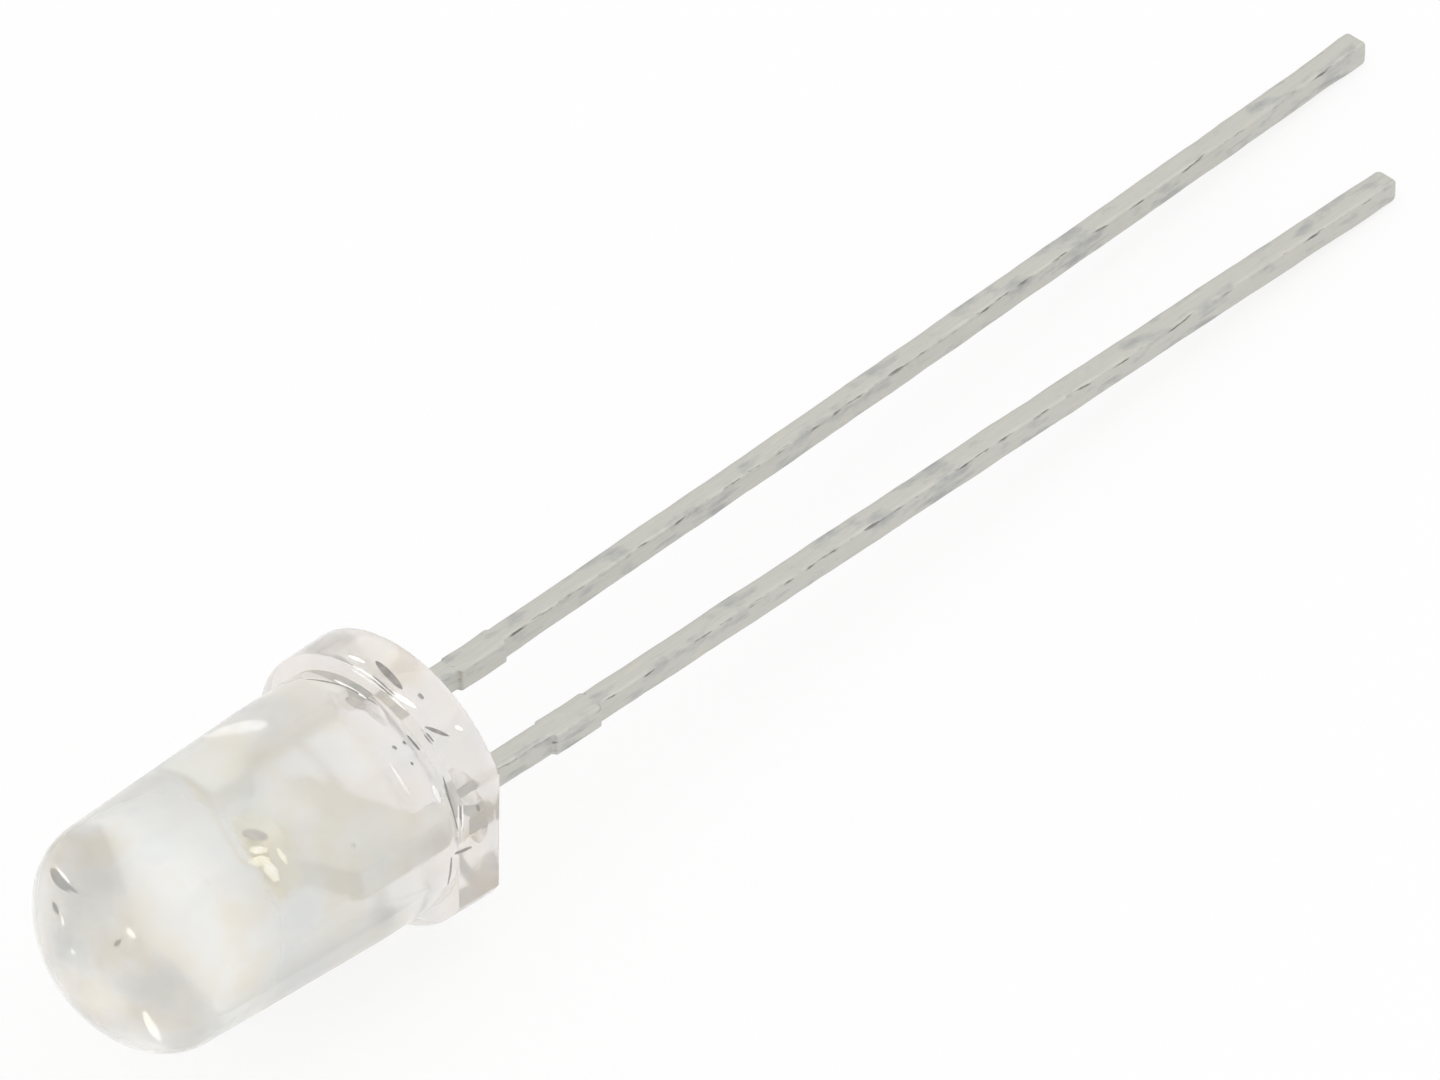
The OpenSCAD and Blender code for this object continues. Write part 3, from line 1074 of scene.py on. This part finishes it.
@dataclass
class LeadFrame:
    """The silver plated part of both stampings inside the resin. Lengths are in millimetres."""

    thickness: float = 0.5
    edge_r: float = 0.03
    start_x: float = 0.3
    key_x: float = 0.62
    key_r: float = 0.09
    key_steps: int = 8
    coined_rad: float = 0.6
    anode_edges: tuple[float, float] = (-1.5, -1.04)
    cathode_edges: tuple[float, float] = (1.02, 1.52)
    post_top_x: float = 4.2
    head_x: float = 3.3
    head_in: float = -0.85
    head_slope_l: float = 0.32
    neck_x: float = 1.25
    anvil_x: float = 2.5
    anvil_half: float = 0.4967
    cup_base_x: float = 3.85
    cup_rim_x: float = 4.35
    cup_floor_x: float = 4.15
    cup_r: float = 0.53
    mouth_r: float = 0.43
    floor_r: float = 0.26
    lip: float = 0.02
    cup_flare_l: float = 0.25
    cup_lap: float = 0.05
    cup_turns: int = 64
    sharp_deg: float = 35
    finish: Finish = SilverPlate()
    cup_finish: Finish = SilverPlate("warm_silver_plate", colour="#fefcf1", shade="#f8f3e2")

    def strip(self, points: list[tuple[float, float]]) -> BMesh:
        """Cuts a strip of the lead frame, with its keying notches and its coined edges.

        Args:
            points: the corners of the outline; the first and the last are those at the root.

        Returns:
            The strip, centred on the plane of the leads.
        """
        bm = bmesh.new()
        near, far = points[0][1], points[-1][1]
        into = math.copysign(math.pi, near - far)
        first = line(bm, None, points[0])
        last = line(bm, first, (self.key_x - self.key_r, near))
        last = arc(bm, last, (self.key_x, near), into, self.key_steps)
        for point in (*points[1:-1], (self.key_x + self.key_r, far)):
            last = line(bm, last, point)
        last = arc(bm, last, (self.key_x, far), into, self.key_steps)
        last = line(bm, last, points[-1])
        bm.edges.new((last, first))
        bmesh.ops.contextual_create(bm, geom=bm.edges[:])
        bmesh.ops.translate(bm, verts=bm.verts, vec=(0, 0, -self.thickness / 2))
        pushed = bmesh.ops.extrude_face_region(bm, geom=bm.faces[:])["geom"]
        top = only(pushed, BMVert)
        bmesh.ops.translate(bm, verts=top, vec=(0, 0, self.thickness))
        bmesh.ops.recalc_face_normals(bm, faces=bm.faces)
        steep = [e for e in bm.edges if e.calc_face_angle(0.0) > self.coined_rad]
        bmesh.ops.bevel(
            bm, geom=steep, offset=self.edge_r, segments=2, profile=0.5, affect="EDGES", material=-1
        )
        return bm

    def cup(self) -> BMesh:
        """Turns the reflector cup with its conical recess and its flared base."""
        bm = bmesh.new()
        foot_x = self.cup_base_x - self.cup_flare_l
        points = [
            (self.cup_floor_x, 0.0),
            (self.cup_floor_x, self.floor_r),
            (self.cup_rim_x, self.mouth_r),
            (self.cup_rim_x, self.cup_r - self.lip),
            (self.cup_rim_x - self.lip, self.cup_r),
            (self.cup_base_x, self.cup_r),
            (foot_x, self.thickness / 2),
            (foot_x, 0.0),
        ]
        last = None
        for point in points:
            last = line(bm, last, point)
        revolve(bm, self.cup_turns)
        bmesh.ops.recalc_face_normals(bm, faces=bm.faces)
        return bm

    def build(self) -> None:
        """Makes the anode post, the anvil and the cup."""
        anode, cathode = self.anode_edges, self.cathode_edges
        anvil_top_x = self.cup_base_x + self.cup_lap
        post = [
            (self.start_x, anode[1]),
            (self.head_x - self.head_slope_l, anode[1]),
            (self.head_x, self.head_in),
            (self.post_top_x, self.head_in),
            (self.post_top_x, anode[0]),
            (self.start_x, anode[0]),
        ]
        anvil = [
            (self.start_x, cathode[0]),
            (self.neck_x, cathode[0]),
            (self.anvil_x, -self.anvil_half),
            (anvil_top_x, -self.anvil_half),
            (anvil_top_x, self.anvil_half),
            (self.anvil_x + (cathode[1] - self.anvil_half) / 2, cathode[1]),
            (self.start_x, cathode[1]),
        ]
        shapes = {
            "anode_post": (self.strip(post), "anode_lead", self.finish),
            "cathode_anvil": (self.strip(anvil), "cathode_lead", self.finish),
            "reflector_cup": (self.cup(), "cathode_lead", self.cup_finish),
        }
        for name, (bm, node, finish) in shapes.items():
            shade(bm, self.sharp_deg)
            piece = settle(bm, name, AXES.place())
            dress(piece, finish)
            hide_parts(node)
            log.info("%s: %d faces", name, len(piece.data.polygons))


Gap = tuple[tuple[float, float, float], tuple[float, float, float], float]


@dataclass
class ResinFlaws:
    """Thin air gaps that the casting left in the lens, most of them close under its skin. Their
    walls carry painted light and shade.

    Each gap runs between two points of the diode's axes, with a radius, in millimetres.
    """

    # Painted dark strokes: shade and the leads mirrored in the resin.
    dark: tuple[Gap, ...] = (
        ((0.57, -0.12, 2.74), (0.68, 0.56, 2.68), 0.080),
        ((1.34, -1.23, 2.10), (1.19, -0.37, 2.40), 0.023),
        ((1.19, -0.37, 2.40), (1.11, 0.37, 2.39), 0.024),
        ((0.91, 0.08, 2.81), (0.91, 0.66, 2.70), 0.021),
        ((0.84, 1.44, 2.34), (0.58, 1.70, 2.16), 0.047),
        ((1.08, 1.18, 2.10), (1.05, 1.44, 1.93), 0.030),
        ((0.93, 1.53, 2.31), (0.91, 1.69, 2.21), 0.024),
        ((1.47, 1.20, 2.08), (1.46, 1.23, 2.07), 0.038),
        ((1.23, 1.22, 2.07), (1.23, 1.25, 2.06), 0.030),
        ((1.35, 1.55, 1.84), (1.35, 1.57, 1.83), 0.026),
        ((0.51, 0.92, 2.60), (0.51, 0.97, 2.58), 0.045),
        ((0.88, 2.02, 1.56), (0.88, 2.43, 0.50), 0.036),
        ((1.02, 2.39, 0.00), (0.70, 2.42, -0.05), 0.056),
        ((1.17, 2.43, -0.02), (1.18, 2.33, -0.70), 0.028),
        ((0.50, 2.41, 0.85), (0.47, 2.41, 0.76), 0.060),
        ((7.73, -1.33, 1.18), (7.92, -0.83, 1.25), 0.125),
        ((7.90, -0.90, 1.31), (8.00, -0.47, 1.39), 0.042),
        ((8.13, -0.94, 0.88), (8.18, -0.81, 0.85), 0.075),
        ((8.13, 0.69, 0.96), (8.09, 0.73, 1.03), 0.053),
    )
    # Painted grey smudges of shade.
    smoky: tuple[Gap, ...] = (
        ((1.36, -0.04, 2.32), (1.32, 0.20, 2.31), 0.113),
        ((4.87, 0.67, 1.48), (4.65, 0.80, 1.41), 0.115),
    )
    # Painted glints of the lamps mirrored in the resin.
    bright: tuple[Gap, ...] = (
        ((0.74, -0.69, 2.66), (0.72, -0.35, 2.72), 0.045),
        ((0.93, -0.39, 2.72), (0.88, 0.52, 2.70), 0.038),
        ((0.87, 0.60, 2.66), (0.76, 1.01, 2.53), 0.060),
        ((1.15, -0.67, 2.33), (1.15, 0.14, 2.41), 0.034),
        # This long deep gap paints the soft box's highlight on the upper barrel.
        ((3.14, -1.45, 1.00), (2.69, -0.99, 1.40), 0.190),
        ((1.76, 1.42, 1.95), (1.73, 1.89, 1.50), 0.026),
        ((1.17, 1.95, 1.38), (1.16, 2.07, 1.19), 0.049),
        ((0.89, 2.43, 1.11), (0.91, 2.47, 0.51), 0.021),
        ((0.30, 1.68, 2.17), (0.25, 1.73, 2.13), 0.049),
        ((7.93, 0.83, 1.25), (7.93, 0.93, 1.19), 0.064),
        ((7.95, 1.32, -0.45), (7.72, 1.39, -1.06), 0.120),
        ((7.77, -1.24, 1.37), (7.94, -0.76, 1.44), 0.038),
        ((8.25, -0.61, 0.84), (8.28, -0.55, 0.78), 0.038),
        ((8.41, -0.18, 0.41), (8.42, -0.15, 0.40), 0.040),
    )
    # Painted reflection of the chip's pale facets near the cup.
    cream: tuple[Gap, ...] = (
        ((5.20, 1.23, 1.78), (5.00, 1.32, 1.73), 0.094),
        ((5.34, 1.37, 1.67), (5.08, 1.45, 1.62), 0.113),
        ((5.12, 1.51, 1.56), (5.08, 1.68, 1.38), 0.141),
        ((4.73, 1.40, 1.61), (4.71, 1.59, 1.43), 0.066),
    )
    flatness: float = 0.7
    smooth_deg: float = 80
    faceted_deg: float = 5

    def gap(self, bm: BMesh, gap: Gap, rounds: int) -> None:
        """Adds one gap as a drawn out ball.

        Args:
            bm: the shape that gets the gap.
            gap: its two ends and its radius.
            rounds: SMOOTH_ROUNDS, or FACETED_ROUNDS for a gap with broken facets.
        """
        start, end, radius = Vector(gap[0]), Vector(gap[1]), gap[2]
        along = end - start
        turn = along.to_track_quat("X", "Z").to_matrix().to_4x4()
        size = Matrix.Diagonal((along.length / 2 + radius, radius, radius * self.flatness, 1.0))
        place = Matrix.Translation((start + end) / 2) @ turn @ size
        bmesh.ops.create_icosphere(bm, subdivisions=rounds, radius=1.0, matrix=place)

    def build(self) -> None:
        """Makes one piece of each kind of gap."""
        for gleam, gaps, rounds in (
            (Gleam.DARK, self.dark, SMOOTH_ROUNDS),
            (Gleam.SMOKY, self.smoky, SMOOTH_ROUNDS),
            (Gleam.BRIGHT, self.bright, SMOOTH_ROUNDS),
            (Gleam.CREAM, self.cream, FACETED_ROUNDS),
        ):
            bm = bmesh.new()
            for gap in gaps:
                self.gap(bm, gap, rounds)
            shade(bm, self.smooth_deg if rounds == SMOOTH_ROUNDS else self.faceted_deg)
            word = gleam.value[0]
            # Each piece paints light and shade on the walls of its gaps.
            piece = settle(bm, f"resin_gaps_{word}", AXES.place())
            dress(piece, PaintedGapSkin(f"air_gap_{word}", "clear_resin", gleam))
            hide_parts("lens")
            log.info("%s: %d gaps", piece.name, len(gaps))


@dataclass
class Studio:
    """The floor, the lamps, the surroundings and the camera."""

    pixels_per_mm: float = 53.262
    origin_px: tuple[float, float] = (404.02, 765.62)
    to_camera: tuple[float, float, float] = (0.5335, 0.5357, 0.6546)
    picture_right: tuple[float, float, float] = (-0.7138, 0.7003, 0.0086)
    focal_mm: float = 1200.0
    sensor_mm: float = 36.0
    clip: tuple[float, float] = (0.01, 10.0)
    floor_reach: float = 1.2
    lamp_size: float = 0.8
    lamp_energy: float = 1.0
    lamp_place: tuple[float, float, float] = (-0.15, 0.1, 0.6)
    even_light: float = 0.8
    tent_tones: tuple[tuple[float, str], ...] = (
        (0.0, "#c6c6c1"),
        (0.02, "#ffffff"),
        (0.3, "#fafafa"),
        (0.8, "#e9e9e7"),
    )
    bounces: tuple[tuple[str, int], ...] = (
        ("max_bounces", 48),
        ("diffuse_bounces", 12),
        ("glossy_bounces", 40),
        ("transmission_bounces", 40),
    )

    def floor(self) -> None:
        """Lays the board under the diode."""
        bm = bmesh.new()
        bmesh.ops.create_circle(bm, cap_ends=True, segments=64, radius=self.floor_reach)
        bmesh.ops.translate(bm, verts=bm.verts, vec=(0, 0, cad_box[0].z))
        board = settle(bm, "studio_board", Matrix.Identity(4))
        dress(board, StudioFloor())

    def camera(self) -> None:
        """Sets the camera at the photograph's angle, far off with a long lens."""
        turn = AXES.turn()
        back = (turn @ Vector(self.to_camera)).normalized()
        right = turn @ Vector(self.picture_right)
        right = (right - right.dot(back) * back).normalized()
        up = back.cross(right)
        across, down = (
            (size / 2 - origin) / self.pixels_per_mm * MM
            for size, origin in zip(IMAGE_SIZE, self.origin_px)
        )
        width = IMAGE_SIZE[0] / self.pixels_per_mm * MM
        distance = self.focal_mm / self.sensor_mm * width
        data = bpy.data.cameras.new("photo_camera")
        data.lens, data.sensor_width = self.focal_mm, self.sensor_mm
        data.clip_start, data.clip_end = self.clip
        camera = bpy.data.objects.new("photo_camera", data)
        bpy.context.scene.collection.objects.link(camera)
        spot = right * across - up * down + back * distance
        aim = Matrix((right, up, back)).transposed().to_4x4()
        camera.matrix_world = Matrix.Translation(spot) @ aim
        bpy.context.scene.camera = camera

    def lamps(self) -> None:
        """Hangs one wide soft box over the diode."""
        data = bpy.data.lights.new("soft_box", "AREA")
        data.shape, data.size, data.energy = "DISK", self.lamp_size, self.lamp_energy
        lamp = bpy.data.objects.new("soft_box", data)
        lamp.location = self.lamp_place
        lamp.rotation_euler = (-Vector(self.lamp_place)).to_track_quat("-Z", "Y").to_euler()
        lamp.visible_camera = False
        bpy.context.scene.collection.objects.link(lamp)

    def surroundings(self) -> None:
        """Sets an even pale light all round, which clear and shiny surfaces see as a white tent."""
        world = bpy.data.worlds.new("white_tent")
        bpy.context.scene.world = world
        world.use_nodes = True
        tree = world.node_tree
        tree.nodes.clear()
        parts = add_node(
            tree,
            "ShaderNodeSeparateXYZ",
            {0: add_node(tree, "ShaderNodeTexCoord").outputs["Generated"]},
        )
        shade_up = colour_steps(tree, parts.outputs["Z"], self.tent_tones)
        even, tent, backdrop = (
            add_node(tree, "ShaderNodeBackground", {"Color": colour, "Strength": strength})
            for colour, strength in ((WHITE, self.even_light), (shade_up, 1.0), (WHITE, 1.0))
        )
        path = add_node(tree, "ShaderNodeLightPath")
        shiny = calc(
            tree, "MAXIMUM", path.outputs["Is Glossy Ray"], path.outputs["Is Transmission Ray"]
        )
        lit = add_node(
            tree, "ShaderNodeMixShader", {0: shiny, 1: even.outputs[0], 2: tent.outputs[0]}
        )
        seen = add_node(
            tree,
            "ShaderNodeMixShader",
            {0: path.outputs["Is Camera Ray"], 1: lit.outputs[0], 2: backdrop.outputs[0]},
        )
        add_node(tree, "ShaderNodeOutputWorld", {"Surface": seen.outputs[0]})

    def build(self) -> None:
        """Sets up the whole studio."""
        self.floor()
        self.camera()
        self.lamps()
        self.surroundings()
        scene = bpy.context.scene
        scene.view_settings.view_transform = "Standard"
        for setting, limit in self.bounces:
            setattr(scene.cycles, setting, limit)


def main() -> None:
    """Builds the diode and the studio in order."""
    logging.basicConfig(level=logging.INFO, format="%(name)s: %(message)s")
    LensCasting().build()
    Lead(
        Side.ANODE, width=0.46, length=27.7, lean_deg=1.9, bow_r=1200.0, tip_flare=0.08
    ).build()
    Lead(
        Side.CATHODE,
        width=0.5,
        length=25.3,
        lean_deg=0.9,
        bow_r=0.0,
        tip_flare=-0.02,
        tip_r=0.2,
        finish=TinnedSteel("hot_tin_on_cathode", shift=7.3),
    ).build()
    LeadFrame().build()
    ResinFlaws().build()
    dress_node("die_attach", SilverPaste())
    dress_node("led_chip", ChipCrystal())
    for name in ("chip_contact", "bond_wire"):
        dress_node(name, Gold())
    Studio().build()


if __name__ == "__main__":
    main()
